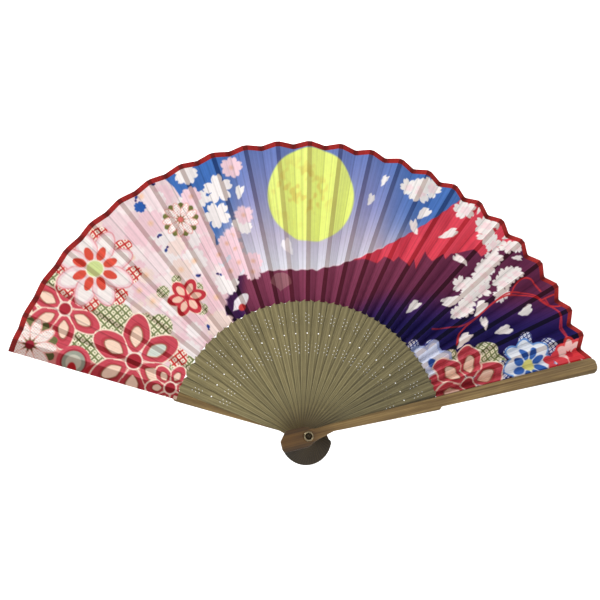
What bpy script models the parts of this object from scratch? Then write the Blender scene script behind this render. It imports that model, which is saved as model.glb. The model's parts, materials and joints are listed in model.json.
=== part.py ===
"""Folding hand fan: two wooden guards, 23 bamboo ribs and a pleated cloth leaf, all on one rivet.

It stands open in the X-Z plane with its front towards -Y. The rivet's axis is the Y axis, the flat
rear face of the rivet is the origin, and the middle of the open leaf points up, along +Z.
A stick is a guard or a rib. Sticks are numbered from the rear guard, 0, to the front guard, 24, and
each lies a little nearer the front than the one before it.
"""
import math

import bmesh
import bpy
from mathutils import Matrix

MM = 0.001

# Driving dimensions
RIBS = 23
GUARD_PITCH = math.radians(6.2)     # angle between each guard and the rib next to it, open
FIRST_PITCH = math.radians(7.2)     # angle between ribs 1 and 2
PITCH_CHANGE = math.radians(-0.094)  # the angle between ribs shrinks by this from one to the next
STICK_STEP = 0.8 * MM               # from one rib to the next, along the rivet
RIB_THICKNESS = 0.5 * MM
GUARD_THICKNESS = 2.0 * MM
GAP = 0.3 * MM                      # clearance between neighbouring pieces

HEAD_LENGTH = 17.5 * MM             # from the rivet's axis to the lower end of a stick
SHOULDER_RADIUS = 86.0 * MM         # where a rib's blade ends and its slim tail starts
LEAF_INNER_RADIUS = 87.2 * MM
LEAF_OUTER_RADIUS = 190.5 * MM
TAIL_END_RADIUS = 186.0 * MM
REAR_GUARD_END_RADIUS = 189.0 * MM  # the leaf covers the rear guard's tip
FRONT_GUARD_END_RADIUS = 192.0 * MM
BLADE_HALF_WIDTH = 4.8 * MM
NECK_HALF_WIDTH = 2.6 * MM
TAIL_HALF_WIDTH = 1.35 * MM
SHOULDER_ROUNDING = 2.6 * MM

LEAF_THICKNESS = 0.3 * MM
FIRST_VALLEY_DEPTH = 1.2 * MM       # how far a pleat dips behind the stick on its left
VALLEY_CHANGE = 0.23 * MM           # added to that depth from one pleat to the next

PIN_RADIUS = 1.5 * MM
PIN_HOLE_RADIUS = 1.95 * MM         # corner radius of the eight-sided hole in each stick
WASHER_RADIUS = 3.15 * MM
WASHER_HOLE_RADIUS = 2.0 * MM
REAR_CAP_THICKNESS = 0.5 * MM
FRONT_WASHER_THICKNESS = 1.2 * MM

# Heights are measured forwards from the rivet's rear face
STICKS = RIBS + 2
REAR_GUARD_BASE = REAR_CAP_THICKNESS + GAP
FIRST_RIB_BASE = REAR_GUARD_BASE + GUARD_THICKNESS + GAP
FRONT_GUARD_BASE = FIRST_RIB_BASE + RIBS * STICK_STEP
FRONT_GUARD_TOP = FRONT_GUARD_BASE + GUARD_THICKNESS


def opening_to(stick):
    """The angle from the rear guard to this stick when the fan is open."""
    if stick == 0:
        return 0.0
    if stick == STICKS - 1:
        return opening_to(RIBS) + GUARD_PITCH
    steps = stick - 1
    return GUARD_PITCH + FIRST_PITCH * steps + PITCH_CHANGE * steps * (steps - 1) / 2


SPREAD = opening_to(STICKS - 1)


def direction(stick):
    """The angle of a stick's centre line above the X axis."""
    return math.pi / 2 + SPREAD / 2 - opening_to(stick)


def base_height(stick):
    return REAR_GUARD_BASE if stick == 0 else FIRST_RIB_BASE + (stick - 1) * STICK_STEP


def top_height(stick):
    thick = GUARD_THICKNESS if stick in (0, STICKS - 1) else RIB_THICKNESS
    return base_height(stick) + thick


def material(name, colour, roughness, metallic=0.0):
    made = bpy.data.materials.new(name)
    made.use_nodes = True
    shader = made.node_tree.nodes["Principled BSDF"]
    shader.inputs["Base Color"].default_value = (*colour, 1.0)
    shader.inputs["Roughness"].default_value = roughness
    shader.inputs["Metallic"].default_value = metallic
    made.diffuse_color = (*colour, 1.0)
    return made


def arc(centre, radius, start, end, steps):
    """Points on an arc, angles in degrees."""
    turns = [math.radians(start + (end - start) * i / steps) for i in range(steps + 1)]
    return [(centre[0] + radius * math.cos(a), centre[1] + radius * math.sin(a)) for a in turns]


def ring(radius, sides):
    return arc((0, 0), radius, 0, 360 * (sides - 1) / sides, sides - 1)


def place(obj, stick):
    """Turns a piece, made along local +X and seen from the front, to its stick's place."""
    stand_up = Matrix.Rotation(math.pi / 2, 4, "X")
    turn = Matrix.Rotation(-direction(stick), 4, "Y")
    forward = Matrix.Translation((0, -base_height(stick), 0))
    obj.matrix_world = forward @ turn @ stand_up


def plate(name, outline, hole, thickness, look):
    """A flat piece: its outline, less an optional hole round the rivet's axis, made this thick."""
    bm = bmesh.new()
    loops = [outline] + ([hole] if hole else [])
    edges = []
    for loop in loops:
        verts = [bm.verts.new((x, y, 0)) for x, y in loop]
        edges += [bm.edges.new((verts[i - 1], verts[i])) for i in range(len(verts))]
    bmesh.ops.triangle_fill(bm, use_beauty=True, edges=edges)
    made = bmesh.ops.extrude_face_region(bm, geom=bm.faces[:])
    top = [item for item in made["geom"] if isinstance(item, bmesh.types.BMVert)]
    bmesh.ops.translate(bm, vec=(0, 0, thickness), verts=top)
    bmesh.ops.recalc_face_normals(bm, faces=bm.faces[:])
    mesh = bpy.data.meshes.new(name)
    bm.to_mesh(mesh)
    bm.free()
    mesh.materials.append(look)
    obj = bpy.data.objects.new(name, mesh)
    bpy.context.scene.collection.objects.link(obj)
    return obj


def head_outline(half_width, lower_half_width, side):
    """The lower end of a stick, from its neck on the -Y side round to the neck on the +Y side.
    One lower corner is cut off, on the side that faces the leaf."""
    length = HEAD_LENGTH
    points = [
        (5 * MM, -half_width * 1.15),
        (-1.5 * MM, -lower_half_width),
        (-length + 2.5 * MM, -lower_half_width),
        (-length, -lower_half_width + 2.5 * MM),
        (-length, lower_half_width - 5.5 * MM),
        (-length + 4.5 * MM, lower_half_width),
        (-1.5 * MM, lower_half_width),
        (5 * MM, half_width * 1.15),
    ]
    return points if side > 0 else [(x, -y) for x, y in reversed(points)]


def rib_outline():
    """Head, slowly widening blade, round shoulders, then the slim tail that the leaf is glued to."""
    rounding = SHOULDER_ROUNDING
    centre_x = SHOULDER_RADIUS - rounding
    centre_y = BLADE_HALF_WIDTH - rounding
    upper_shoulder = arc((centre_x, centre_y), rounding, 90, 15, 4)
    upper = [(14 * MM, NECK_HALF_WIDTH), (55 * MM, 4.1 * MM), *upper_shoulder]
    upper += [(SHOULDER_RADIUS + 1.5 * MM, TAIL_HALF_WIDTH), (TAIL_END_RADIUS, TAIL_HALF_WIDTH * 0.8)]
    lower = [(x, -y) for x, y in reversed(upper)]
    return head_outline(NECK_HALF_WIDTH, 4.8 * MM, 1) + upper + lower


def guard_outline(side, end):
    """A guard widens towards its tip, and is cut back on its outer edge where the leaf starts.
    side is 1 where the leaf lies on the +Y side of the guard, and -1 on the other guard, which
    is narrower, so that the leaf covers it."""
    inner = 4.2 * MM
    step = 2.5 * MM
    blade, behind_leaf, tip_centre = (4.2, 2.6, -1.7) if side > 0 else (2.6, 1.4, 1.2)
    outer = [
        (16 * MM, -0.9 * MM),
        (SHOULDER_RADIUS - step, -blade * MM),
        (SHOULDER_RADIUS, -behind_leaf * MM),
    ]
    rounding = 4.2 * MM
    tip = arc((end - rounding, tip_centre * MM), rounding, -80, 0, 4)
    tip += arc((end - rounding, inner - rounding), rounding, 15, 90, 4)
    points = head_outline(3.0 * MM, 6.4 * MM, 1) + [(14 * MM, inner * 0.95), (SHOULDER_RADIUS, inner)]
    points += list(reversed(tip)) + list(reversed(outer))
    return points if side > 0 else [(x, -y) for x, y in reversed(points)]


def guard(name, stick, side, end, look):
    outline = guard_outline(side, end)
    obj = plate(name, outline, ring(PIN_HOLE_RADIUS, 8), GUARD_THICKNESS, look)
    place(obj, stick)


def rib(stick, look):
    obj = plate(f"rib_{stick:02d}", rib_outline(), ring(PIN_HOLE_RADIUS, 8), RIB_THICKNESS, look)
    place(obj, stick)


def leaf_points(pleat, radius):
    """The cross-section of a pleat at one radius, as (angle, height) from its left stick to its
    right one: over the left tail, down to the valley half-way, and up onto the right tail."""
    left, right = direction(pleat - 1), direction(pleat)
    last = pleat == STICKS - 1
    over_left = top_height(pleat - 1) + GAP
    on_right = base_height(pleat) - GAP - LEAF_THICKNESS if last else top_height(pleat) + GAP
    clear = TAIL_HALF_WIDTH + GAP
    if pleat == 1:
        edge = left + 1.6 * MM / LEAF_INNER_RADIUS
        start = [(edge, over_left), (left - 4.6 * MM / radius, over_left)]
    else:
        start = [(left - GAP / 2 / radius, over_left), (left - clear / radius, over_left)]
    if last:
        end = [(right + clear / radius, on_right), (right - 1.0 * MM / radius, on_right)]
    else:
        end = [(right + clear / radius, on_right), (right + GAP / 2 / radius, on_right)]
    depth = FIRST_VALLEY_DEPTH + VALLEY_CHANGE * (pleat - 1)
    valley = ((left + right) / 2, over_left - depth)
    return [*start, valley, *end]


def leaf_pleat(pleat, look):
    """One fold of the cloth, from stick to stick, as a closed sheet."""
    bm = bmesh.new()
    rows = []
    for radius in (LEAF_INNER_RADIUS, LEAF_OUTER_RADIUS):
        for rise in (0, LEAF_THICKNESS):
            row = []
            for angle, height in leaf_points(pleat, radius):
                place_at = (radius * math.cos(angle), -height - rise, radius * math.sin(angle))
                row.append(bm.verts.new(place_at))
            rows.append(row)
    inner_back, inner_front, outer_back, outer_front = rows
    loop_of_rows = [inner_back, inner_front, outer_front, outer_back]
    for side in range(4):
        one, two = loop_of_rows[side - 1], loop_of_rows[side]
        for i in range(len(one) - 1):
            bm.faces.new((one[i], one[i + 1], two[i + 1], two[i]))
    bm.faces.new([row[0] for row in loop_of_rows])
    bm.faces.new([row[-1] for row in reversed(loop_of_rows)])
    bmesh.ops.triangulate(bm, faces=bm.faces[:])
    bmesh.ops.recalc_face_normals(bm, faces=bm.faces[:])
    name = f"leaf_pleat_{pleat:02d}"
    mesh = bpy.data.meshes.new(name)
    bm.to_mesh(mesh)
    bm.free()
    mesh.materials.append(look)
    obj = bpy.data.objects.new(name, mesh)
    bpy.context.scene.collection.objects.link(obj)


def rivet(metal):
    """A solid rear cap, the pin through every stick, and a ring-shaped front washer."""
    pieces = (
        ("rivet_rear_cap", ring(WASHER_RADIUS, 24), None, 0, REAR_CAP_THICKNESS),
        ("rivet_pin", ring(PIN_RADIUS, 16), None, REAR_GUARD_BASE, FRONT_GUARD_TOP + GAP),
        (
            "rivet_front_washer",
            ring(WASHER_RADIUS, 24),
            ring(WASHER_HOLE_RADIUS, 16),
            FRONT_GUARD_TOP + GAP,
            FRONT_GUARD_TOP + GAP + FRONT_WASHER_THICKNESS,
        ),
    )
    for name, outline, hole, base, top in pieces:
        obj = plate(name, outline, hole, top - base, metal)
        stand_up = Matrix.Rotation(math.pi / 2, 4, "X")
        obj.matrix_world = Matrix.Translation((0, -base, 0)) @ stand_up
        obj.data.set_sharp_from_angle(angle=math.radians(40))


def main():
    for obj in list(bpy.data.objects):
        bpy.data.objects.remove(obj, do_unlink=True)
    guard_wood = material("guard_wood", (0.26, 0.175, 0.065), 0.45)
    bamboo = material("bamboo", (0.30, 0.235, 0.13), 0.55)
    cloth = material("leaf_cloth", (0.45, 0.12, 0.20), 0.85)
    metal = material("rivet_metal", (0.55, 0.50, 0.42), 0.25, 1.0)
    guard("rear_guard", 0, -1, REAR_GUARD_END_RADIUS, guard_wood)
    for stick in range(1, RIBS + 1):
        rib(stick, bamboo)
    guard("front_guard", STICKS - 1, 1, FRONT_GUARD_END_RADIUS, guard_wood)
    for pleat in range(1, STICKS):
        leaf_pleat(pleat, cloth)
    rivet(metal)


main()
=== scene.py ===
"""Folding hand fan, open: guards, 23 drilled bamboo ribs, a printed cloth leaf in 24 pleats, a rivet.

The fan stands in the X-Z plane and faces -Y; the rivet's axis is the Y axis. Lengths in the shape code
are millimetres, and angles are measured from +X towards +Z. "Height" is a distance towards -Y.
"""

import json
import math

import bmesh
import bpy
import numpy as np
from mathutils import Matrix, Vector


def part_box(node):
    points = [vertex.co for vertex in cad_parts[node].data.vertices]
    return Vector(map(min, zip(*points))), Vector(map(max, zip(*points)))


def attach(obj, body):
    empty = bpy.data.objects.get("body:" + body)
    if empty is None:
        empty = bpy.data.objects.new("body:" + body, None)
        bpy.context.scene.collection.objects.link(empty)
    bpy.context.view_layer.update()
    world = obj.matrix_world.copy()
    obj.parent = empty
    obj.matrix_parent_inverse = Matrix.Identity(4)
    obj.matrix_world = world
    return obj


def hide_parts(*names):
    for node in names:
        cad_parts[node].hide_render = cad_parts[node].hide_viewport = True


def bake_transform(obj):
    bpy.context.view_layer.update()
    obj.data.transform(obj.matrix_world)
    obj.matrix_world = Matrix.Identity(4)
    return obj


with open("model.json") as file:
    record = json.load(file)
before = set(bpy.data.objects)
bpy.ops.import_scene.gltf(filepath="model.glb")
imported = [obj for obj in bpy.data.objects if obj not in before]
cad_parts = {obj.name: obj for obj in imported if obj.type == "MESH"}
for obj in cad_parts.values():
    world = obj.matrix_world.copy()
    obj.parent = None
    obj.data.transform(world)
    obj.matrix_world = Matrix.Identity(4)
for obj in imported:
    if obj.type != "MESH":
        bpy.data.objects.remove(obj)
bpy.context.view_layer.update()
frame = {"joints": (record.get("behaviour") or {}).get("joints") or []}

MM = 0.001
BODIES = ["rear_guard"] + [joint["child"] for joint in frame["joints"]]
LAST = len(BODIES) - 1
PITCHES = [joint["range_deg"][1] for joint in frame["joints"]]
SPREAD = math.radians(sum(PITCHES))
DIRECTION = [math.pi / 2 + SPREAD / 2 - math.radians(sum(PITCHES[:k])) for k in range(LAST + 1)]


def heights(node):
    """(rear, front) heights of a CAD node, in mm."""
    low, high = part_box(node)
    return -high.y / MM, -low.y / MM


BASE = [heights(body)[0] for body in BODIES]
TOP = [heights(body)[1] for body in BODIES]

# sticks
HEAD_LENGTH = 17.5            # from the rivet's axis to a stick's lower end
HOLE_RADIUS = 1.95
REAR_GUARD_END, FRONT_GUARD_END = 189.0, 192.0
GUARD_STEP = 86.0             # where a guard is cut back, beside the leaf
GUARD_INNER = 4.2             # from a guard's centre line to the edge on the leaf's side
TAIL_END = 186.0              # the slim part of a rib that the leaf is glued to
TAIL_HALF = 1.35
BLADE_HALF = 5.3
NECK_HALF = 2.6
ROUNDING = 1.9

# leaf
LEAF_OUTER = 190.5
LEAF_THICK = 0.16
CAD_LEAF_INNER = 87.2
GLUE_GAP = 0.3                # between the cloth and the stick it lies on
VALLEY_AT = 0.52              # share of the way from stick to stick where a pleat is deepest
FIRST_DEPTH, DEPTH_CHANGE = 1.2, 0.23
CELL = 0.5                    # grid of the cloth, along the sticks
FLAT_CELLS, FIRST_FLAT_CELLS, SLOPE_CELLS = 6, 30, 42
STREAKS = 42
BINDING = 3.2                 # width of the red tape on the outer edge

RANDOM = np.random.default_rng(7)


def shoulder(stick):
    """Where this rib's blade ends, a little further out in the middle of the fan."""
    share = stick / LAST
    return 83.4 + 6.0 * share - 4.9 * share * share


def rgb(code):
    """An RRGGBB colour as three numbers from 0 to 1."""
    return np.array([int(code[i:i + 2], 16) / 255 for i in (0, 2, 4)])


def linear(colour):
    """sRGB to linear light."""
    colour = np.clip(colour, 0, 1)
    return np.where(colour <= 0.04045, colour / 12.92, ((colour + 0.055) / 1.055) ** 2.4)


def step(low, high, value):
    """A smooth step from 0 at low to 1 at high."""
    t = np.clip((value - low) / (high - low), 0, 1)
    return t * t * (3 - 2 * t)


# ---------------------------------------------------------------- materials

def nodes_of(name):
    """A new material, its nodes and links, and its shader."""
    made = bpy.data.materials.new(name)
    made.use_nodes = True
    return made, made.node_tree.nodes, made.node_tree.links, made.node_tree.nodes["Principled BSDF"]


def add(nodes, kind, **values):
    """A new node; each value goes to the input of that name, or else to the setting."""
    node = nodes.new(kind)
    for key, value in values.items():
        if key in node.inputs.keys():
            node.inputs[key].default_value = value
        else:
            setattr(node, key, value)
    return node


def map_range(nodes, links, value, before, after, smooth=False):
    """Maps a value from the range before to the range after."""
    node = add(nodes, "ShaderNodeMapRange")
    if smooth:
        node.interpolation_type = "SMOOTHSTEP"
    node.inputs["From Min"].default_value, node.inputs["From Max"].default_value = before
    node.inputs["To Min"].default_value, node.inputs["To Max"].default_value = after
    links.new(value, node.inputs["Value"])
    return node.outputs["Result"]


def wood_material(name, shades, roughness, grain, edge_and_shadow_dark, half_at, half_slope, stacked):
    """Grain that runs along the stick's own X axis, in dark, mid and light shades. half_at (in mm) and
    half_slope say how wide the stick is, so that its long edges can be darker. A stacked stick also
    gets a painted shadow where the next one covers it."""
    made, nodes, links, shader = nodes_of(name)

    def maths(operation, *inputs):
        node = add(nodes, "ShaderNodeMath", operation=operation)
        for i, value in enumerate(inputs):
            if isinstance(value, float):
                node.inputs[i].default_value = value
            else:
                links.new(value, node.inputs[i])
        return node.outputs[0]

    place = add(nodes, "ShaderNodeTexCoord").outputs["Object"]
    apart = add(nodes, "ShaderNodeSeparateXYZ")
    links.new(place, apart.inputs["Vector"])
    along, across = apart.outputs["X"], apart.outputs["Y"]

    # fibres
    stretch = add(nodes, "ShaderNodeMapping")
    stretch.inputs["Scale"].default_value = (16, grain, grain)
    links.new(place, stretch.inputs["Vector"])
    fibres = add(nodes, "ShaderNodeTexNoise", Scale=1.0, Detail=5.0, Roughness=0.62)
    links.new(stretch.outputs["Vector"], fibres.inputs["Vector"])
    ramp = add(nodes, "ShaderNodeValToRGB")
    dark, mid, light = [(*linear(rgb(code)), 1) for code in shades]
    ramp.color_ramp.elements[0].position, ramp.color_ramp.elements[1].position = 0.3, 0.7
    ramp.color_ramp.elements[0].color, ramp.color_ramp.elements[1].color = dark, light
    ramp.color_ramp.elements.new(0.48).color = mid
    links.new(fibres.outputs["Fac"], ramp.inputs["Fac"])
    blotch = add(nodes, "ShaderNodeTexNoise", Scale=90.0, Detail=2.0)
    links.new(place, blotch.inputs["Vector"])
    blotches = map_range(nodes, links, blotch.outputs["Fac"], (0.3, 0.7), (0.9, 1.08))

    # darker towards the long edges; a stacked stick gets a painted shadow beside the edge of the next stick
    # that covers it
    half = maths("MULTIPLY_ADD", along, half_slope, half_at * MM)
    if stacked:
        # painted shadow: darker on this stick beside the edge of the next stick that lies over it
        pitch = add(nodes, "ShaderNodeAttribute", attribute_name="pitch")
        shift = maths("MULTIPLY", along, pitch.outputs["Fac"])
        cover = maths("MAXIMUM", maths("SUBTRACT", half, shift), maths("MULTIPLY", half, -1.0))
        width = maths("MINIMUM", maths("MAXIMUM", maths("MULTIPLY", shift, 0.38), 0.05 * MM), 1.7 * MM)
        share = maths("DIVIDE", maths("SUBTRACT", across, cover), width)
        edge = map_range(nodes, links, share, (0.0, 1.0), (edge_and_shadow_dark, 1.0), smooth=True)
    else:
        share = maths("DIVIDE", maths("ABSOLUTE", across), half)
        edge = map_range(nodes, links, share, (0.72, 1.02), (1.0, edge_and_shadow_dark), smooth=True)

    # darker and browner towards the head end, fading out 30 mm from the rivet
    head = map_range(nodes, links, along, (-6 * MM, 30 * MM), (0.0, 1.0), smooth=True)
    head_tint = add(nodes, "ShaderNodeMix", data_type="RGBA", blend_type="MIX")
    links.new(head, head_tint.inputs["Factor"])
    head_tint.inputs["A"].default_value = (0.46, 0.33, 0.15, 1)
    head_tint.inputs["B"].default_value = (1, 1, 1, 1)
    head_tinted = add(nodes, "ShaderNodeVectorMath", operation="MULTIPLY")
    links.new(ramp.outputs["Color"], head_tinted.inputs[0])
    links.new(head_tint.outputs["Result"], head_tinted.inputs[1])

    tone = add(nodes, "ShaderNodeAttribute", attribute_name="tone")
    tint = add(nodes, "ShaderNodeVectorMath", operation="SCALE")
    links.new(head_tinted.outputs["Vector"], tint.inputs[0])
    links.new(maths("MULTIPLY", maths("MULTIPLY", blotches, edge), tone.outputs["Fac"]), tint.inputs["Scale"])
    links.new(tint.outputs["Vector"], shader.inputs["Base Color"])
    rough = map_range(nodes, links, fibres.outputs["Fac"], (0.0, 1.0), (roughness - 0.08, roughness + 0.12))
    links.new(rough, shader.inputs["Roughness"])
    bump = add(nodes, "ShaderNodeBump", Strength=0.35, Distance=0.12 * MM)
    links.new(fibres.outputs["Fac"], bump.inputs["Height"])
    links.new(bump.outputs["Normal"], shader.inputs["Normal"])
    return made


def weave_height(nodes, links, place, pitch):
    """Threads that cross, as a height from two wave textures."""
    waves = []
    for direction in ("X", "Z"):
        wave = add(nodes, "ShaderNodeTexWave", wave_type="BANDS", bands_direction=direction,
                   Scale=0.314 / pitch, Distortion=0.0)
        links.new(place.outputs["Object"], wave.inputs["Vector"])
        waves.append(wave.outputs["Fac"])
    both = add(nodes, "ShaderNodeMath", operation="MULTIPLY")
    for wave, socket in zip(waves, both.inputs):
        links.new(wave, socket)
    return both.outputs[0]


def cloth_material(name, roughness):
    """Woven cloth that takes its colours from the mesh."""
    made, nodes, links, shader = nodes_of(name)
    place = add(nodes, "ShaderNodeTexCoord")
    colour = add(nodes, "ShaderNodeAttribute", attribute_name="print")
    slub = add(nodes, "ShaderNodeTexNoise", Scale=420.0, Detail=3.0)
    links.new(place.outputs["Object"], slub.inputs["Vector"])
    amount = map_range(nodes, links, slub.outputs["Fac"], (0.0, 1.0), (0.93, 1.07))
    tint = add(nodes, "ShaderNodeVectorMath", operation="SCALE")
    links.new(colour.outputs["Color"], tint.inputs[0])
    links.new(amount, tint.inputs["Scale"])
    links.new(tint.outputs["Vector"], shader.inputs["Base Color"])
    shader.inputs["Roughness"].default_value = roughness
    shader.inputs["Sheen Weight"].default_value = 0.03
    shader.inputs["Specular IOR Level"].default_value = 0.12
    bump = add(nodes, "ShaderNodeBump", Strength=0.3, Distance=0.06 * MM)
    links.new(weave_height(nodes, links, place, 0.42 * MM), bump.inputs["Height"])
    links.new(bump.outputs["Normal"], shader.inputs["Normal"])
    return made


def metal_material(name, colour, roughness):
    """Metal with uneven wear."""
    made, nodes, links, shader = nodes_of(name)
    place = add(nodes, "ShaderNodeTexCoord")
    wear = add(nodes, "ShaderNodeTexNoise", Scale=900.0, Detail=4.0)
    links.new(place.outputs["Object"], wear.inputs["Vector"])
    rough = map_range(nodes, links, wear.outputs["Fac"], (0.0, 1.0), (roughness - 0.1, roughness + 0.14))
    links.new(rough, shader.inputs["Roughness"])
    shader.inputs["Base Color"].default_value = (*linear(rgb(colour)), 1)
    shader.inputs["Metallic"].default_value = 1.0
    bump = add(nodes, "ShaderNodeBump", Strength=0.15, Distance=0.05 * MM)
    links.new(wear.outputs["Fac"], bump.inputs["Height"])
    links.new(bump.outputs["Normal"], shader.inputs["Normal"])
    return made


# ---------------------------------------------------------------- sticks

def arc(centre, radius, start, end, steps):
    """Points on an arc, angles in degrees."""
    turns = [math.radians(start + (end - start) * i / steps) for i in range(steps + 1)]
    return [(centre[0] + radius * math.cos(a), centre[1] + radius * math.sin(a)) for a in turns]


def ring(centre, radius, sides):
    return arc(centre, radius, 0, 360 * (sides - 1) / sides, sides - 1)


def head_outline(half, lower_half):
    """The end below the rivet, from the neck on the -Y side round to the neck on the +Y side. One
    lower corner is cut off."""
    neck = half * 1.15
    flare = neck + (lower_half - half) * 0.45
    return [
        (5, -neck), (1.5, -flare), (-1.5, -lower_half),
        *arc((2.5 - HEAD_LENGTH, 2.5 - lower_half), 2.5, 270, 180, 5),
        *arc((1.2 - HEAD_LENGTH, lower_half - 5.9), 1.2, 180, 135, 3),
        *arc((5.2 - HEAD_LENGTH, lower_half - 1.3), 1.3, 135, 90, 3),
        (-1.5, lower_half), (1.5, flare), (5, neck),
    ]


def rib_outline(stick):
    """Head, slowly widening blade, round shoulders, then the slim tail."""
    end = shoulder(stick)
    round_top = arc((end - ROUNDING, BLADE_HALF - ROUNDING), ROUNDING, 90, 12, 7)
    upper = [(14, NECK_HALF), (34, 3.5), (55, 4.4), *round_top]
    upper += [(end + 1.4, TAIL_HALF), (TAIL_END, TAIL_HALF * 0.8)]
    return head_outline(NECK_HALF, 4.8) + upper + [(x, -y) for x, y in reversed(upper)]


def guard_outline(side):
    """side is 1 where the leaf lies on the +Y side of the guard, and -1 on the rear guard, which is
    narrower where the leaf covers it."""
    if side > 0:
        end, blade, behind_leaf, tip_centre = FRONT_GUARD_END, 4.2, 2.6, -1.7
    else:
        end, blade, behind_leaf, tip_centre = REAR_GUARD_END, 2.6, 1.4, 1.2
    outer = [(16, -0.9), (GUARD_STEP - 2.5, -blade), (GUARD_STEP - 1.6, 0.1 - blade)]
    outer.append((GUARD_STEP, -behind_leaf))
    tip = arc((end - GUARD_INNER, tip_centre), GUARD_INNER, -80, 0, 6)
    tip += arc((end - GUARD_INNER, 0), GUARD_INNER, 15, 90, 6)
    points = head_outline(3.0, 6.4) + [(14, GUARD_INNER * 0.95), (GUARD_STEP, GUARD_INNER)]
    points += list(reversed(tip)) + list(reversed(outer))
    return points if side > 0 else [(x, -y) for x, y in reversed(points)]


def drilled(stick):
    """Small holes: two staggered groups of six with one larger hole between them."""
    shift = (shoulder(stick) - GUARD_STEP) * 0.8
    holes = [ring((65.5 + shift, 0), 0.34, 12)]
    for middle in (75.2 + shift, 56.2 + shift):
        for row in (-1, 1):
            for place in (-1, 0, 1):
                x = middle + 2.4 * place + 0.6 * row
                holes.append(ring((x, row * 0.98), 0.2, 8))
    return holes


def in_scene(mesh, look, sharp):
    """The mesh as an object in the scene: smooth, but with edges sharper than this angle kept."""
    mesh.shade_smooth()
    mesh.set_sharp_from_angle(angle=math.radians(sharp))
    mesh.materials.append(look)
    obj = bpy.data.objects.new(mesh.name, mesh)
    bpy.context.scene.collection.objects.link(obj)
    return obj


def plate(name, outline, holes, thickness, look, bevel, tone, pitch=0.0):
    """A flat piece in its own frame: along +X, front towards +Z."""
    bm = bmesh.new()
    edges = []
    for loop in [outline, *holes]:
        verts = [bm.verts.new((x * MM, y * MM, 0)) for x, y in loop]
        edges += [bm.edges.new((verts[i - 1], verts[i])) for i in range(len(verts))]
    bmesh.ops.triangle_fill(bm, use_beauty=True, edges=edges)
    made = bmesh.ops.extrude_face_region(bm, geom=bm.faces[:])
    top = [item for item in made["geom"] if isinstance(item, bmesh.types.BMVert)]
    bmesh.ops.translate(bm, vec=(0, 0, thickness * MM), verts=top)
    bmesh.ops.recalc_face_normals(bm, faces=bm.faces[:])
    rims = [e for e in bm.edges if len(e.link_faces) == 2 and e.calc_face_angle() > math.radians(60)
            and abs(e.verts[0].co.z - e.verts[1].co.z) < 1e-6]
    bmesh.ops.bevel(bm, geom=rims, offset=bevel * MM, segments=3, profile=0.5, affect="EDGES")
    mesh = bpy.data.meshes.new(name)
    bm.to_mesh(mesh)
    bm.free()
    for key, value in (("tone", tone), ("pitch", pitch)):
        attribute = mesh.attributes.new(key, "FLOAT", "POINT")
        attribute.data.foreach_set("value", np.full(len(mesh.vertices), value, np.float32))
    return in_scene(mesh, look, 35)


def seat(obj, stick):
    """Puts a piece on its stick's body, turned from the piece's own frame to the fan's."""
    stand_up = Matrix.Rotation(math.pi / 2, 4, "X")
    turn = Matrix.Rotation(-DIRECTION[stick], 4, "Y")
    obj.matrix_world = Matrix.Translation((0, -BASE[stick] * MM, 0)) @ turn @ stand_up
    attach(obj, BODIES[stick])
    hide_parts(BODIES[stick])


# ---------------------------------------------------------------- print

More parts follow.
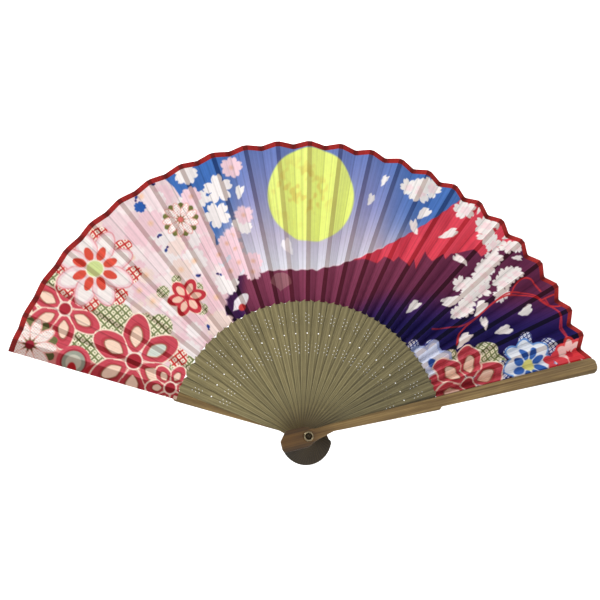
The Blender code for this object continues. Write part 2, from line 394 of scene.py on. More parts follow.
class Print:
    """Colours laid over one another at points (x, z) of the open leaf, in mm."""

    def __init__(self, x, z):
        self.x, self.z = x, z
        self.colour = np.zeros((len(x), 3))

    def lay(self, code, mask):
        """Covers the points with a colour, by as much as the mask says."""
        colour = rgb(code) if isinstance(code, str) else code
        self.colour += (colour - self.colour) * np.clip(mask, 0, 1)[:, None]

    def about(self, centre, turn=0.0):
        """Distances along and across an axis from a centre; turn is in degrees."""
        dx, dz = self.x - centre[0], self.z - centre[1]
        c, s = math.cos(math.radians(turn)), math.sin(math.radians(turn))
        return dx * c + dz * s, dz * c - dx * s

    def disc(self, centre, radius, code, soft=0.35):
        far = np.hypot(self.x - centre[0], self.z - centre[1])
        self.lay(code, 0.5 - (far - radius) / (2 * soft))

    def oval(self, centre, turn, long, short, code, soft=0.35):
        u, v = self.about(centre, turn)
        self.lay(code, 0.5 - (np.hypot(u / long, v / short) - 1) * short / (2 * soft))

    def petal(self, centre, turn, start, end, half, code, point=0.6, soft=0.3):
        """A petal from start to end along its axis: pointed at the centre, round outside."""
        u, v = self.about(centre, turn)
        t = np.clip((u - start) / (end - start), 0, 1)
        s = t ** 0.8
        wide = half * np.sqrt(np.clip(1 - (2 * s - 1) ** 2, 0, 1)) * np.clip(t / 0.4, 0, 1) ** point
        inside = (u > start) & (u < end)
        self.lay(code, np.where(inside, 0.5 - (np.abs(v) - wide) / (2 * soft), 0))

    def petals(self, centre, count, turn, *layers):
        """Each layer of a petal is (start, end, half width, colour, point); petals overlap in turn."""
        for i in range(count):
            for start, end, half, code, point in layers:
                self.petal(centre, turn + 360 * i / count, start, end, half, code, point)

    def blossom(self, centre, radius, turn, code, strength=1.0, wobble=0.32):
        """A five-petalled cherry blossom with notched petals."""
        u, v = self.about(centre, turn)
        far, angle = np.hypot(u, v), np.arctan2(v, u)
        lobe = np.abs(np.cos(2.5 * angle))
        notch = np.exp(-(lobe - 1) ** 2 / 0.0016)
        rim = radius * (1 - wobble + wobble * lobe ** 0.6 - 0.13 * notch)
        self.lay(code, (0.5 - (far - rim) / 0.6) * strength)

    def loose_petal(self, centre, length, turn, code="f3ece8", strength=1.0):
        """One notched petal; its shape varies a little with its place."""
        u, v = self.about(centre, turn)
        t = u / length
        plump = 0.40 + 0.09 * math.sin(centre[0] * 1.7 + centre[1])
        v = v + 0.07 * length * np.sin(2.2 * t + centre[0]) + 0.03 * length * np.sin(9 * t)
        wide = length * plump * np.sqrt(np.clip(1 - t * t, 0, 1)) * (1 + 0.55 * t)
        cut = np.abs(v) < (t - 0.62 - 0.1 * math.sin(centre[1])) * length * 0.7
        mask = np.where((np.abs(t) < 1) & ~cut, 0.5 - (np.abs(v) - wide) / 0.6, 0)
        self.lay(code, mask * strength)

    def lattice(self, blobs, line, ground, pitch=3.1, turn=45):
        """Diamonds with a dot in each, inside a patch of overlapping discs (x, z, radius)."""
        inside = np.zeros(len(self.x))
        for x, z, radius in blobs:
            far = np.hypot(self.x - x, self.z - z)
            inside = np.maximum(inside, np.clip(0.5 - (far - radius) / 0.6, 0, 1))
        u, v = self.about((0, 0), turn)
        u, v = np.abs((u / pitch) % 1 - 0.5), np.abs((v / pitch) % 1 - 0.5)
        border = np.maximum(u, v)
        lines = step(0.31, 0.39, border)
        dots = 1 - step(0.07, 0.16, border)
        self.lay(ground, inside)
        self.lay(line, inside * np.maximum(lines, dots * 0.9))

    def line(self, points, width, code, soft=0.3):
        """A smooth cord through these points."""
        points = np.array(points, float)
        for _ in range(3):
            quarter = points[:-1] * 0.75 + points[1:] * 0.25
            rest = points[:-1] * 0.25 + points[1:] * 0.75
            mids = np.stack([quarter, rest], 1).reshape(-1, 2)
            points = np.concatenate([points[:1], mids, points[-1:]])
        near = np.full(len(self.x), 1e9)
        for a, b in zip(points[:-1], points[1:]):
            d = b - a
            t = np.clip(((self.x - a[0]) * d[0] + (self.z - a[1]) * d[1]) / max(d @ d, 1e-9), 0, 1)
            near = np.minimum(near, np.hypot(self.x - a[0] - t * d[0], self.z - a[1] - t * d[1]))
        self.lay(code, 0.5 - (near - width / 2) / (2 * soft))


def ripple(x, z, scale, seed):
    """Smooth pseudo-random values in about -1..1."""
    source = np.random.default_rng(seed)
    total = np.zeros(len(x))
    for _ in range(7):
        a = source.uniform(0, 2 * math.pi)
        f = source.uniform(0.6, 1.7) * 2 * math.pi / scale
        total += np.sin(f * (x * math.cos(a) + z * math.sin(a)) + source.uniform(0, 6.28))
    return total / 3.2


def sky(p):
    """Pale over the mountain, blue at the top and deep blue at both sides."""
    rise = np.clip((p.z - 104) / 78, 0, 1)
    stops = [0, 0.3, 0.6, 1]
    shades = [rgb("e0e0e6"), rgb("bfb7cc"), rgb("9092c2"), rgb("6a7cb9")]
    p.colour = np.stack([np.interp(rise, stops, [s[i] for s in shades]) for i in range(3)], 1)
    side = np.maximum(step(-36, -66, p.x), step(34, 78, p.x) * 0.9)
    p.lay("3f6cb3", side * step(0.05, 0.55, rise + step(-50, -70, p.x) * 0.4))


def moon(p):
    """A yellow full moon with darker marks."""
    p.oval((0, 155.5), 90, 31.3, 28, "e5ef80", 0.5)
    inside = np.hypot(p.x / 28, (p.z - 155.5) / 31.3) < 0.98
    marks = step(0.15, 1.0, ripple(p.x, p.z, 17, 3) + 0.5 * ripple(p.x, p.z, 7, 4) + 0.25)
    p.lay("dcc964", inside * marks * 0.75 * step(28, 8, np.hypot(p.x + 6, p.z - 158)))


def mountain(p):
    """A long dark slope, navy at its foot, with a jagged red cap at the right."""
    crest_x = [-60, -44, -19, 5, 20, 39, 58, 72, 84, 95, 120, 170]
    crest_z = [96, 101, 105, 106, 110, 118, 128, 137, 145, 154, 172, 200]
    crest = np.interp(p.x, crest_x, crest_z) + 0.35 * np.sin(p.x * 0.9)
    body = np.clip(0.5 + (crest - p.z) / 0.7, 0, 1)
    depth = crest - p.z
    slope = rgb("823a54") + (rgb("5f2546") - rgb("823a54")) * step(4, 60, depth)[:, None]
    p.lay(slope, body)
    level = p.z + 16 * step(52, 10, p.x) * step(-46, -36, p.x)
    p.lay("42205a", body * step(97, 80, level))
    p.lay("1c1152", body * step(86, 70, level))
    p.lay("3c1a44", body * step(-38, -46, p.x) * 0.9)
    jag_x = [22, 34, 44, 48, 54, 58, 64, 67, 69, 75, 79, 86, 88, 92, 106, 112, 120, 139, 170]
    jag_z = [113, 114, 112, 116, 113, 117, 110, 115, 109, 121, 114, 119, 116, 120, 123, 119, 124, 130, 138]
    cap = body * np.clip(0.5 + (p.z - np.interp(p.x, jag_x, jag_z)) / 0.6, 0, 1) * (p.x > 24)
    p.lay("de4759", cap)
    p.lay("c93d50", cap * 0.7 * step(0.2, 0.9, ripple(p.x, p.z * 0.4, 22, 9)))
    p.lay("f3e3ea", np.clip(1 - np.abs(crest + 0.3 - p.z) / 0.7, 0, 1) * (p.x > -44) * (p.x < 48) * 0.8)


def cloud(p):
    """The bank of blossom that fills the left side, with a scalloped edge."""
    edge_z = [60, 81, 87, 92, 100, 105, 112, 126, 133, 145, 149, 156, 162, 168, 176, 200]
    edge_x = [-50, -53, -54, -47, -45, -57, -59, -61, -65, -70, -83, -88, -95, -105, -120, -140]
    bound = np.interp(p.z, edge_z, edge_x)
    bank = np.clip(0.5 + (bound - p.x) / 0.6, 0, 1)
    p.lay("ead0d3", bank)
    source = np.random.default_rng(21)
    tints = ["f0e0df", "ebc8cf", "edd6ce", "efe5e4", "e9c4cb", "edd8da"]
    for _ in range(120):
        z = source.uniform(30, 178)
        x = np.interp(z, edge_z, edge_x) - source.uniform(4, 78)
        size = source.uniform(5.5, 10.5)
        strength = source.uniform(0.3, 0.65)
        p.blossom((x, z), size, source.uniform(0, 72), tints[source.integers(6)], strength)
        if source.uniform() < 0.4:
            p.disc((x, z), 1.4, "efc3a0", 1.2)
    spots = [
        (-112, 147), (-101, 156), (-91, 116), (-69, 99), (-62, 66), (-97, 124), (-57, 101),
    ]
    for x, z in spots:
        p.petal((x, z), source.uniform(0, 360), 0, source.uniform(2.2, 3.8), 0.9, "2a3f86", 0.3)
        p.petal((x, z), source.uniform(0, 360), 0, source.uniform(1.2, 2.4), 0.7, "3a2a66", 0.3)
    p.blossom((-109, 142), 4.0, 12, "2d5cab")


def edge_blossoms(p):
    """Blossoms and loose petals in front of the sky and the mountain."""
    whites = [
        (-81, 165, 8, 10, 0.3), (-60, 156, 10, 30, 0.55), (-60, 139, 9, 54, 0.5), (-46, 133, 5, 90, 0.3),
        (-52, 95, 8, 20, 0.35), (-42, 132, 5, 20, 0.3), (-71, 149, 6, 0, 0.4),
    ]
    for x, z, size, turn, wobble in whites:
        p.blossom((x, z), size, turn, "f3ebe9", 1.0, wobble)
    pinks = [
        (-52, 171, 7.5, 15, 0.75), (-43, 140, 7, 40, 0.4), (-50, 126, 6.5, 5, 0.35),
        (-36, 110, 6.5, 60, 0.7), (-36, 103, 6, 33, 0.7), (-48, 118, 6, 22, 0.95), (-45, 109, 7, 50, 0.95),
        (-53, 121, 6.5, 3, 0.95), (-58, 113, 6.5, 18, 0.95), (-50, 103, 6.5, 40, 0.95),
        (-77, 150, 7, 10, 0.95),
    ]
    for x, z, size, turn, strength in pinks:
        p.blossom((x, z), size, turn, "f0cdd6", strength)
        p.disc((x, z), 1.2, "e6b39c", 1.0)
    petals = [
        (-46, 155, 5, 80), (39, 154, 4.6, 70), (74, 146, 5.6, 40), (68, 137, 5.4, 110), (90, 133, 6.4, 22),
        (98, 116, 5.6, 130), (67, 84, 6, 40), (48, 167, 4.5, 60), (92, 89, 7, 195), (110, 84, 6.4, 50),
        (113, 75, 5, 95), (126, 71, 6, 25), (140, 84, 5.6, 28), (99, 63, 7.5, 50), (110, 149, 2.6, 60),
        (122, 139, 2.6, 80), (129, 133, 3, 20), (136, 119, 4.6, 0),
    ]
    for x, z, size, turn in petals:
        p.loose_petal((x, z), size, turn)
    p.petal((-18, 91), 90, 0, 12.5, 6.6, "9c6670", 1.2)
    p.loose_petal((-14, 120), 6, 120, "efe9ee", 0.8)
    p.petal((-48, 77), 52, 0, 15, 3.6, "efe8ea", 1.2)
    p.disc((-42, 80), 2.2, "c8403f")
    clusters = [
        (71, 161, 9, 15, 0.4), (64, 164, 6, 40, 0.5), (79, 164, 7.5, 60, 0.5), (101, 150, 7.5, 20, 0.5),
        (115, 140, 7.5, 5, 0.5), (115, 132, 6.5, 40, 0.6), (120, 128, 6.5, 10, 0.6),
        (129, 126, 5.5, 50, 0.6), (135, 126, 4.5, 30, 0.5), (120, 118, 6, 0, 0.45),
        (115, 112, 6.5, 25, 0.45), (112, 106, 7, 40, 0.45), (106, 99, 7.5, 60, 0.5), (98, 100, 6, 15, 0.6),
        (112, 98, 7, 30, 0.55), (103, 91, 7, 10, 0.5), (100, 84, 6.5, 50, 0.5), (95, 81, 4.6, 20, 0.5),
        (129, 107, 6.5, 5, 0.5), (125, 102, 6, 35, 0.5), (134, 109, 5.5, 50, 0.5), (123, 93, 5, 20, 0.6),
        (127, 95, 4, 0, 0.6),
    ]
    for x, z, size, turn, wobble in clusters:
        p.blossom((x, z), size, turn, "f2ece8", 1.0, wobble)
        p.blossom((x + 0.6, z - 0.8), size * 0.5, turn + 30, "f3dcdd", 0.6, 0.5)


def chrysanthemum(p, centre, radius, light, dark, heart):
    """Nine pale, dotted petals over dark leaves."""
    p.disc(centre, radius * 0.84, dark)
    p.petals(centre, 9, 12, (radius * 0.2, radius * 1.0, radius * 0.24, dark, 1.0))
    p.petals(centre, 9, 32, (radius * 0.15, radius * 1.02, radius * 0.22, "e7a9a0", 0.6))
    p.petals(centre, 9, 32, (radius * 0.18, radius * 0.97, radius * 0.17, light, 0.6))
    u, v = p.about(centre)
    near = np.hypot(u, v) < radius * 0.95
    dots = (np.sin(u * 3.4) * np.sin(v * 3.4) > 0.45) & near
    pale = p.colour.min(1) > 0.72
    p.lay("dd8f86", dots * pale * 0.8)
    p.disc(centre, radius * 0.16, heart)


def coral_flower(p, centre, reach, count, turn, heart, wide=0.28, cream="f3d3bd"):
    """Broad coral petals with cream ovals and thin cream outlines round a dark red heart."""
    half = reach * wide
    p.petals(centre, count, turn,
             (heart, reach + 0.9, half + 0.9, "f6e2cd", 0.45), (heart, reach, half, "c84c59", 0.45),
             (heart + reach * 0.1, reach * 0.82, half * 0.66, "b83f4b", 0.5),
             (heart + reach * 0.12, reach * 0.76, half * 0.52, "a06a55", 0.5),
             (heart + reach * 0.14, reach * 0.73, half * 0.44, cream, 0.5))
    for i in range(count):
        a = math.radians(turn + 360 * (i + 0.5) / count)
        end = (centre[0] + reach * 0.42 * math.cos(a), centre[1] + reach * 0.42 * math.sin(a))
        p.line([centre, end], 0.7, "f6e2cd")
    p.disc(centre, heart + 1.0, "f8ead8")
    p.disc(centre, heart + 0.1, "a72c39")


def big_daisy(p):
    """The large pale daisy at the left, with red lattice between its petals."""
    centre = (-135, 101)
    red, ground = "c93a37", "f7ead9"
    for x, z in ((-134, 122), (-119, 115), (-112, 98), (-120, 84),
                 (-137, 79), (-152, 88), (-156, 102), (-147, 114)):
        p.lattice([(x, z, 5.2), (x + 2.2, z + 1.5, 4.2)], red, ground, 3.6, 40)
    p.petals(centre, 8, 25.5, (3, 25.5, 7.0, "e39ca1", 0.6), (3, 24.5, 6.2, "ecd2d4", 0.6),
             (9, 22.5, 4.3, "f2e8e4", 0.4))
    p.petals(centre, 8, 25.5, (5.2, 14.8, 2.7, "d9503f", 0.3))
    p.disc(centre, 5.9, "f3ead2")
    p.disc(centre, 5.0, "cfdc93")


def left_garden(p):
    """Flowers and lattices that fill the lower left of the leaf."""
    olive, cream = "7a8353", "efe8cb"
    # a red and olive ground under the big flowers, along the fan's lower left side
    line = np.interp(p.x, [-190, -165, -140, -120, -100, -84, -70], [74, 72, 58, 60, 52, 42, 22])
    p.lay("d98a86", np.clip(0.5 + (line - 8 - p.z) / 1.2, 0, 1) * (p.x < -68))
    p.lattice([(-128, 74, 8), (-119, 71, 9), (-112, 62, 8), (-103, 67, 7), (-142, 57, 9), (-93, 66, 8),
               (-150, 56, 7), (-128, 50, 9), (-132, 62, 8), (-161, 92, 6), (-77, 40, 9), (-169, 77, 6)],
              olive, cream, 3.6)
    p.lattice([(-147, 79, 6), (-81, 47, 6), (-160, 62, 6)], "c93a37", "f7ead9", 3.6, 40)
    coral_flower(p, (-180, 80), 18, 6, 10, 3.0)
    coral_flower(p, (-152, 75), 25, 6, -31, 3.6, 0.27)
    chrysanthemum(p, (-172, 52), 17, "f5ece6", "6f7046", "9b2636")
    for radius, code in ((10.5, "cf5260"), (8.2, "a9323f"), (7.2, "9fa394"), (4.8, "c7c2b2")):
        p.disc((-145, 42), radius, code)
    p.oval((-146, 37.5), 90, 4.4, 2.8, "c4222f")
    for radius, code in ((9.5, "c2333f"), (6.5, "d9a79c")):
        p.disc((-130, 32), radius, code)
    coral_flower(p, (-108, 44), 29.5, 6, 27, 4.6, 0.28)
    p.petal((-108, 44), 27, 9, 21.5, 3.4, "cfd8cd")
    coral_flower(p, (-85, 28), 15, 6, 0, 3.2, 0.30)
    chrysanthemum(p, (-83, 135), 11.5, "faf0ec", "6f6f3a", "dd6f69")
    p.lattice([(-92, 88, 4), (-84, 96, 3), (-67, 78, 3.6), (-70, 92, 3)], olive, cream, 2.2)
    small = (-77, 85)
    p.petals(small, 6, 15, (1, 13.0, 4.6, "f6dccb", 0.4))
    p.petals(small, 6, 15, (1, 12.4, 4.0, "c53742", 0.4))
    p.petals(small, 6, 15, (2, 9.4, 2.1, "f1c6b0", 0.5))
    p.disc(small, 1.5, "b52633")
    big_daisy(p)


def right_garden(p):
    """Flowers and lattices along the front guard."""
    olive, cream = "7a8353", "efe8cb"
    p.lattice([(67, 58, 4.5), (79, 58, 5), (74, 55, 4)], "28307a", "e9ebf4", 2.4, 40)
    p.lattice([(91, 51, 6), (114, 55, 8), (119, 50, 7)], olive, cream, 3.2)
    p.petals((78, 48), 6, 20, (1, 15, 5.5, "aab6dc", 0.4))
    p.petals((78, 48), 6, 20, (2, 13, 4.0, "dcdfee", 0.4))
    p.disc((78, 48), 2.6, "3a63b0")
    p.lattice([(131, 56, 5), (140, 65, 5), (155, 62, 5), (124, 45, 6), (159, 52, 5)],
              "1f2a72", "eef0f7", 2.4, 40)
    p.disc((91, 28), 10, "c84c59")
    p.disc((82, 33), 8, "c84c59")
    coral_flower(p, (102, 35), 25, 6, 28, 4.0, 0.31)
    blue = (142, 49)
    p.petals(blue, 8, 10, (3, 17.5, 6.4, "6d9ad8", 0.4))
    p.petals(blue, 8, 10, (3, 16.3, 5.5, "eef1f6", 0.4))
    p.petals(blue, 8, 32, (3.2, 11.5, 2.3, "3a67b5", 0.3))
    p.disc(blue, 3.7, "e8e08a")
    p.petals((170, 57), 7, 5, (1, 11.5, 4.4, "e24a4d", 0.4))
    p.petals((170, 57), 7, 5, (2, 9.5, 2.8, "f6cfc9", 0.4))
    p.petals((177, 53), 5, 40, (1, 9, 3.6, "d93b42", 0.4))
    p.disc((170, 57), 2.0, "c02836")
    p.petals((160, 51), 5, 15, (1, 8, 3, "d8464f", 0.4))


def cords(p):
    """Thin red cords, some of them double."""
    for shift in (0, 1.8):
        p.line([(94, 60), (98, 70), (110, 80), (119, 89), (130, 95 + shift), (144, 94 + shift),
                (152, 90), (163, 87), (170, 92)], 0.9, "cc3439")
        p.line([(153, 91 + shift), (162, 85), (164 + shift, 74), (167, 65), (160, 57)], 0.9, "c23140")
    p.line([(79, 70), (89, 71), (98, 72), (108, 78)], 1.0, "9c2a3e")
    p.line([(131, 94), (133, 101), (139, 106), (147, 105), (150, 97)], 1.0, "cc3439")
    p.line([(150, 91), (160, 96), (172, 99)], 1.0, "cc3439")


def paint(x, z):
    """The colour of the print at each point, as sRGB."""
    p = Print(x, z)
    sky(p)
    moon(p)
    mountain(p)
    cloud(p)
    edge_blossoms(p)
    cords(p)
    left_garden(p)
    right_garden(p)
    return p.colour


# ---------------------------------------------------------------- leaf

def fold(share):
    """How deep the pleat is at this share of the way from stick to stick: sharp ridges, a round valley."""
    a = np.clip(share / VALLEY_AT, 1e-6, None)
    b = np.clip((1 - share) / (1 - VALLEY_AT), 1e-6, None)
    return (a ** -9.0 + b ** -9.0) ** (-1 / 9.0)


def pleat_grid(pleat, rows):
    """Angles, radii and heights of one pleat on a grid: rows outwards, columns from left to right."""
    left, right = DIRECTION[pleat - 1], DIRECTION[pleat]
    flat_cells = FIRST_FLAT_CELLS if pleat == 1 else FLAT_CELLS
    flat = np.concatenate([np.linspace(0, 1, flat_cells + 1), np.ones(SLOPE_CELLS)])
    share = np.concatenate([np.zeros(flat_cells), np.linspace(0, 1, SLOPE_CELLS + 1)])
    whole = (flat * flat_cells + share * SLOPE_CELLS) / (flat_cells + SLOPE_CELLS)
    outwards = np.linspace(0, 1, rows)[:, None]
    dip = fold(share) * (share > 0) * (share < 1)
    inner = shoulder(pleat - 1 + whole) + 0.05 + 0.1 * dip
    outer = LEAF_OUTER - (0.5 + 2.0 * pleat / LAST) * dip
    radius = inner + outwards * (outer - inner)
    start = np.full_like(radius, left + 1.6 / CAD_LEAF_INNER) if pleat == 1 else left + TAIL_HALF / radius
    over = left - (4.6 if pleat == 1 else TAIL_HALF) / radius
    if pleat == LAST:
        end = right - 1.0 / radius
        landing = right + 4.4 / radius
    else:
        end = landing = right + TAIL_HALF / radius
    low = TOP[pleat - 1] + GLUE_GAP
    high = BASE[pleat] - 0.35 if pleat == LAST else TOP[pleat] + GLUE_GAP
    angle = np.where(flat < 1, start + (over - start) * flat, over + (landing - over) * share)
    depth = FIRST_DEPTH + DEPTH_CHANGE * (pleat - 1)
    height = low + (high - low) * share - depth * dip
    swell = np.sin(math.pi * np.clip(share, 0, 1)) ** 2
    wander = ripple((radius + 31 * pleat).ravel(), (share * 22 + 0 * radius).ravel(), 46, 40 + pleat)
    height = height + 0.16 * swell * wander.reshape(radius.shape)
    if pleat == LAST:
        angle = np.concatenate([angle, (angle[:, -1:] + end[:, -1:]) / 2, end[:, -1:]], 1)
        radius = np.concatenate([radius, radius[:, -1:], radius[:, -1:]], 1)
        height = np.concatenate([height, height[:, -1:], height[:, -1:]], 1)
        share = np.concatenate([share, [1.2, 1.3]])
    return angle, radius, height, share


def sheet_mesh(name, front, back, colours, look):
    """A closed thin sheet from a front and a back grid of points, rows x columns x 3, in mm."""
    rows, columns = front.shape[:2]
    points = np.concatenate([front.reshape(-1, 3), back.reshape(-1, 3)]) * MM
    index = np.arange(rows * columns).reshape(rows, columns)
    a, b, c, d = index[:-1, :-1], index[:-1, 1:], index[1:, 1:], index[1:, :-1]
    faces = [np.stack([a, b, c, d], -1).reshape(-1, 4)]
    faces.append(np.stack([d, c, b, a], -1).reshape(-1, 4) + rows * columns)
    shift = rows * columns
    rim = np.concatenate([index[0, :], index[1:, -1], index[-1, -2::-1], index[-2:0:-1, 0]])
    after = np.roll(rim, -1)
    faces.append(np.stack([after, rim, rim + shift, after + shift], -1))
    faces = np.concatenate(faces)
    mesh = bpy.data.meshes.new(name)
    mesh.vertices.add(len(points))
    mesh.vertices.foreach_set("co", points.astype(np.float32).ravel())
    mesh.loops.add(faces.size)
    mesh.loops.foreach_set("vertex_index", faces.ravel().astype(np.int32))
    mesh.polygons.add(len(faces))
    mesh.polygons.foreach_set("loop_start", np.arange(0, faces.size, 4, dtype=np.int32))
    mesh.update(calc_edges=True)
    mesh.validate()
    both = np.concatenate([colours, colours])
    colour = mesh.color_attributes.new("print", "FLOAT_COLOR", "POINT")
    colour.data.foreach_set("color", np.column_stack([both, np.ones(len(both))]).astype(np.float32).ravel())
    return in_scene(mesh, look, 50)


def to_space(angle, radius, height):
    """Points in mm from angles, radii and heights."""
    return np.stack([radius * np.cos(angle), -height + 0 * angle, radius * np.sin(angle)], -1)


def follow(obj):
    """Bakes the piece's world placement into its mesh."""
    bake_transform(obj)


def stick_shadow(pleat, angle, radius, share, colour):
    """Painted shadow: a darker band where the stick behind the cloth keeps light from shining through, and by
    the front guard; painted shade darkens the creases as faint lines along the folds, over faint random
    streaks.
    """
    # painted shadow of the stick behind the cloth; on the first pleat, of the rear guard behind it
    band = np.where(share[None, :] <= 0, 1.0, 0.0) * np.ones_like(radius)
    if pleat == 1:
        off = (angle - DIRECTION[0]) * radius
        band = step(-5.0, -4.2, off)
    # painted shadow by the front guard, which lies over the end of the last pleat
    if pleat == LAST:
        band = band + (share[None, :] > 0.93)
    shade = colour.mean(1).reshape(radius.shape)
    depth = 1.75 - 1.0 * shade
    streak = np.interp(share * 40, np.arange(STREAKS), RANDOM.uniform(-1, 1, STREAKS))
    fine = 1 + 0.055 * streak[None, :] * (1.25 - 0.6 * shade)
    # painted shade in the creases: dark lines along the valley fold and at 0.8 of the way across
    crease_shade = 1 - 0.16 * np.exp(-((share - VALLEY_AT) / 0.022) ** 2)
    crease_shade = crease_shade - 0.10 * np.exp(-((share - 0.8) / 0.018) ** 2)
    behind = np.clip(colour, 0.01, 1) ** depth.reshape(-1, 1) * np.array([0.80, 0.755, 0.74])
    colour = colour + (behind - colour) * np.clip(band, 0, 1).reshape(-1, 1)
    return colour * (fine * crease_shade[None, :]).reshape(-1, 1)


def leaf(look, binding_look):
    """One cloth sheet for each pleat, with its share of the binding."""
    rows = int((LEAF_OUTER - 84) / CELL) + 1
    for pleat in range(1, LAST + 1):
        angle, radius, height, share = pleat_grid(pleat, rows)
        front = to_space(angle, radius, height)
        back = to_space(angle, radius, height - LEAF_THICK)
        colour = paint(front[..., 0].ravel(), front[..., 2].ravel())
        colour = linear(stick_shadow(pleat, angle, radius, share, colour))
        piece = sheet_mesh(f"cloth_pleat_{pleat:02d}", front, back, colour, look)
        follow(piece)
        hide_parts(f"leaf_pleat_{pleat:02d}")
        hem = binding(pleat, angle, radius, height, share, binding_look)


def binding(pleat, angle, radius, height, share, look):
    """A narrow strip of red cloth folded over the leaf's outer edge."""
    edge_angle, edge_radius, edge_height = angle[-1], radius[-1], height[-1]
    steps = np.array([-BINDING, -BINDING * 0.9, -BINDING * 0.5, -0.1, 0.14, 0.22, 0.22])[:, None]
    lift = np.array([0.03, 0.16, 0.18, 0.16, 0.1, 0.02, -LEAF_THICK / 2])[:, None]
    spread_angle = np.repeat(edge_angle[None, :], len(steps), 0)
    front = to_space(spread_angle, edge_radius + steps, edge_height + lift)
    back = to_space(spread_angle, edge_radius + steps, edge_height - LEAF_THICK - lift)
    back[-1] = to_space(edge_angle, edge_radius + 0.22, edge_height - LEAF_THICK / 2 - 0.04)
    # darker where the tape lies over the sticks, and painted shade towards each pleat's valley
    around = np.repeat(np.where(share <= 0, 0.72, 1.0)[None, :], len(steps), 0)
    valley = 1 - 0.35 * np.exp(-((share - VALLEY_AT) / 0.12) ** 2)
    wear = RANDOM.uniform(0.93, 1.07, len(share))
    red = rgb("9c2725")[None, None, :] * (around * valley[None, :] * wear[None, :])[..., None]
    colours = linear(red.reshape(-1, 3))
    piece = sheet_mesh(f"edge_binding_{pleat:02d}", front, back, colours, look)
    follow(piece)
    return piece


# ---------------------------------------------------------------- rivet

def turned(name, profile, look, closed_at_axis):
    """A piece turned about the Y axis from (radius, height) points, in mm."""
    sides = 64
    bm = bmesh.new()
    rings = []
    for radius, height in profile:
        if radius == 0:
            rings.append([bm.verts.new((0, -height * MM, 0))])
            continue
        turns = [2 * math.pi * i / sides for i in range(sides)]
        rings.append([bm.verts.new((radius * MM * math.cos(t), -height * MM, radius * MM * math.sin(t)))
                      for t in turns])
    pairs = list(zip(rings[:-1], rings[1:]))
    if not closed_at_axis:
        pairs.append((rings[-1], rings[0]))
    for one, two in pairs:
        for i in range(sides):
            j = (i + 1) % sides
            corners = [one[i % len(one)], one[j % len(one)], two[j % len(two)], two[i % len(two)]]
            bm.faces.new(list(dict.fromkeys(corners)))
    bmesh.ops.recalc_face_normals(bm, faces=bm.faces[:])
    mesh = bpy.data.meshes.new(name)
    bm.to_mesh(mesh)
    bm.free()
    return in_scene(mesh, look, 40)


def rivet():
    """A washer and the pin's end at the front, and a cap at the back."""
    bright = metal_material("rivet_steel", "94876c", 0.26)
    dull = metal_material("rivet_core", "4a4234", 0.42)
    low, high = heights("rivet_front_washer")
    washer = turned("rivet_front_ring", [
        (2.0, low), (2.0, low + 0.6), (2.08, low + 0.92), (2.3, low + 1.14), (2.55, high), (2.8, low + 1.12),
        (3.02, low + 0.86), (3.13, low + 0.5), (3.15, low + 0.1), (3.12, low),
    ], bright, False)
    base, top = heights("rivet_pin")
    pin = turned("rivet_core_pin", [
        (0, base), (1.5, base), (1.5, top - 0.12), (1.42, top), (1.1, top - 0.02), (0.9, top - 0.35),
        (0.5, top - 0.62), (0, top - 0.7),
    ], dull, True)
    rear, front = heights("rivet_rear_cap")
    cap = turned("rivet_back_cap", [
        (0, rear), (2.75, rear), (3.0, rear + 0.06), (3.12, rear + 0.2), (3.15, front - 0.1), (3.1, front),
        (0, front),
    ], bright, True)
    for piece, node in ((washer, "rivet_front_washer"), (pin, "rivet_pin"), (cap, "rivet_rear_cap")):
        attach(piece, "rear_guard")
        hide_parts(node)


# ---------------------------------------------------------------- scene

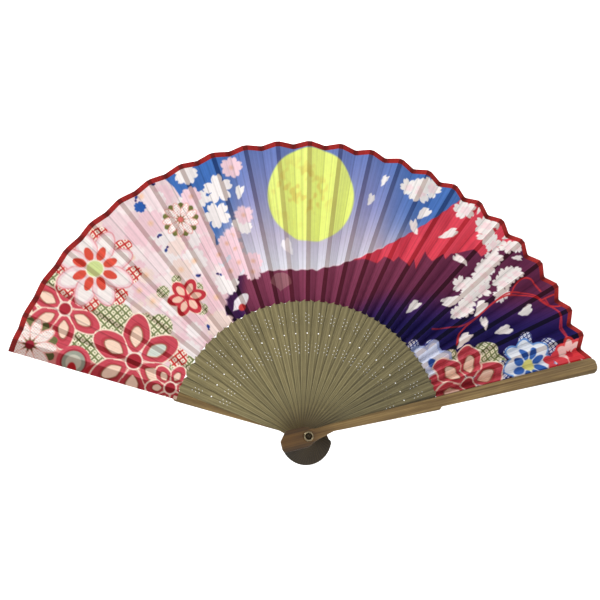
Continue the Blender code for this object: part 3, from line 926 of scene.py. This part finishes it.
def surroundings():
    """A pale sweep that is floor in front and wall behind, soft lights and the camera."""
    profile = [(-3.0, -0.2), (1.0, -0.2), (1.25, -0.16), (1.45, -0.02), (1.55, 0.2), (1.6, 0.6), (1.6, 3.0)]
    mesh = bpy.data.meshes.new("sweep")
    verts = [(x, y, z) for y, z in profile for x in (-3.5, 3.5)]
    faces = [(2 * i, 2 * i + 1, 2 * i + 3, 2 * i + 2) for i in range(len(profile) - 1)]
    mesh.from_pydata(verts, [], faces)
    mesh.shade_smooth()
    made, nodes, links, shader = nodes_of("pale_sweep")
    shader.inputs["Base Color"].default_value = (0.93, 0.93, 0.93, 1)
    shader.inputs["Roughness"].default_value = 0.9
    mesh.materials.append(made)
    sweep = bpy.data.objects.new("sweep", mesh)
    bpy.context.scene.collection.objects.link(sweep)

    world = bpy.data.worlds.new("studio")
    world.use_nodes = True
    world.node_tree.nodes["Background"].inputs["Color"].default_value = (1, 1, 1, 1)
    world.node_tree.nodes["Background"].inputs["Strength"].default_value = 0.46
    bpy.context.scene.world = world

    def lamp(name, place, aim, size, power):
        light = bpy.data.lights.new(name, "AREA")
        light.shape = "SQUARE"
        light.size = size
        light.energy = power
        obj = bpy.data.objects.new(name, light)
        bpy.context.scene.collection.objects.link(obj)
        direction = Vector(place) - Vector(aim)
        obj.location = place
        obj.rotation_euler = direction.to_track_quat("Z", "Y").to_euler()

    lamp("key", (-1.1, -0.8, 1.0), (0, 0, 0.09), 0.5, 12.5)
    lamp("fill", (1.0, -1.3, 0.6), (0, 0, 0.09), 0.9, 3.6)
    lamp("backdrop", (0, 0.7, 1.6), (0, 1.6, 0.3), 1.2, 40)

    camera = bpy.data.cameras.new("camera")
    camera.lens = 60
    camera.sensor_width = 36
    camera.clip_start = 0.01
    obj = bpy.data.objects.new("camera", camera)
    obj.location = (-0.0827, -0.6329, -0.0145)
    obj.rotation_euler = [math.radians(a) for a in (99.095, -1.335, -7.274)]
    bpy.context.scene.collection.objects.link(obj)
    bpy.context.scene.camera = obj
    bpy.context.scene.view_settings.view_transform = "Standard"


def main():
    """Builds every piece, from the rear of the fan to the front."""
    bamboo = wood_material("bamboo_slat", ("4a4226", "7a6f48", "9c9165"), 0.5, 1500, 0.40, 2.2, 0.0315, True)
    guard_look = wood_material("guard_board", ("523813", "7c6338", "9a804e"), 0.4, 900, 0.6, 4.1, 0.002,
                               False)
    cloth = cloth_material("printed_cloth", 0.88)
    tape = cloth_material("binding_tape", 0.85)
    rear = plate("rear_guard_wood", guard_outline(-1), [ring((0, 0), HOLE_RADIUS, 24)],
                 TOP[0] - BASE[0], guard_look, 0.35, 0.96)
    seat(rear, 0)
    for stick in range(1, LAST):
        holes = [ring((0, 0), HOLE_RADIUS, 24), *drilled(stick)]
        # a random tone for each rib, darker towards the front guard side
        tone = RANDOM.uniform(0.86, 1.08) * (1 - 0.26 * step(0.5, 0.9, stick / LAST))
        rib = plate(f"{BODIES[stick]}_wood", rib_outline(stick), holes, TOP[stick] - BASE[stick], bamboo,
                    0.1, tone, math.radians(PITCHES[stick]))
        seat(rib, stick)
    front = plate("front_guard_wood", guard_outline(1), [ring((0, 0), HOLE_RADIUS, 24)],
                  TOP[LAST] - BASE[LAST], guard_look, 0.4, 1.0)
    seat(front, LAST)
    leaf(cloth, tape)
    rivet()
    surroundings()


main()
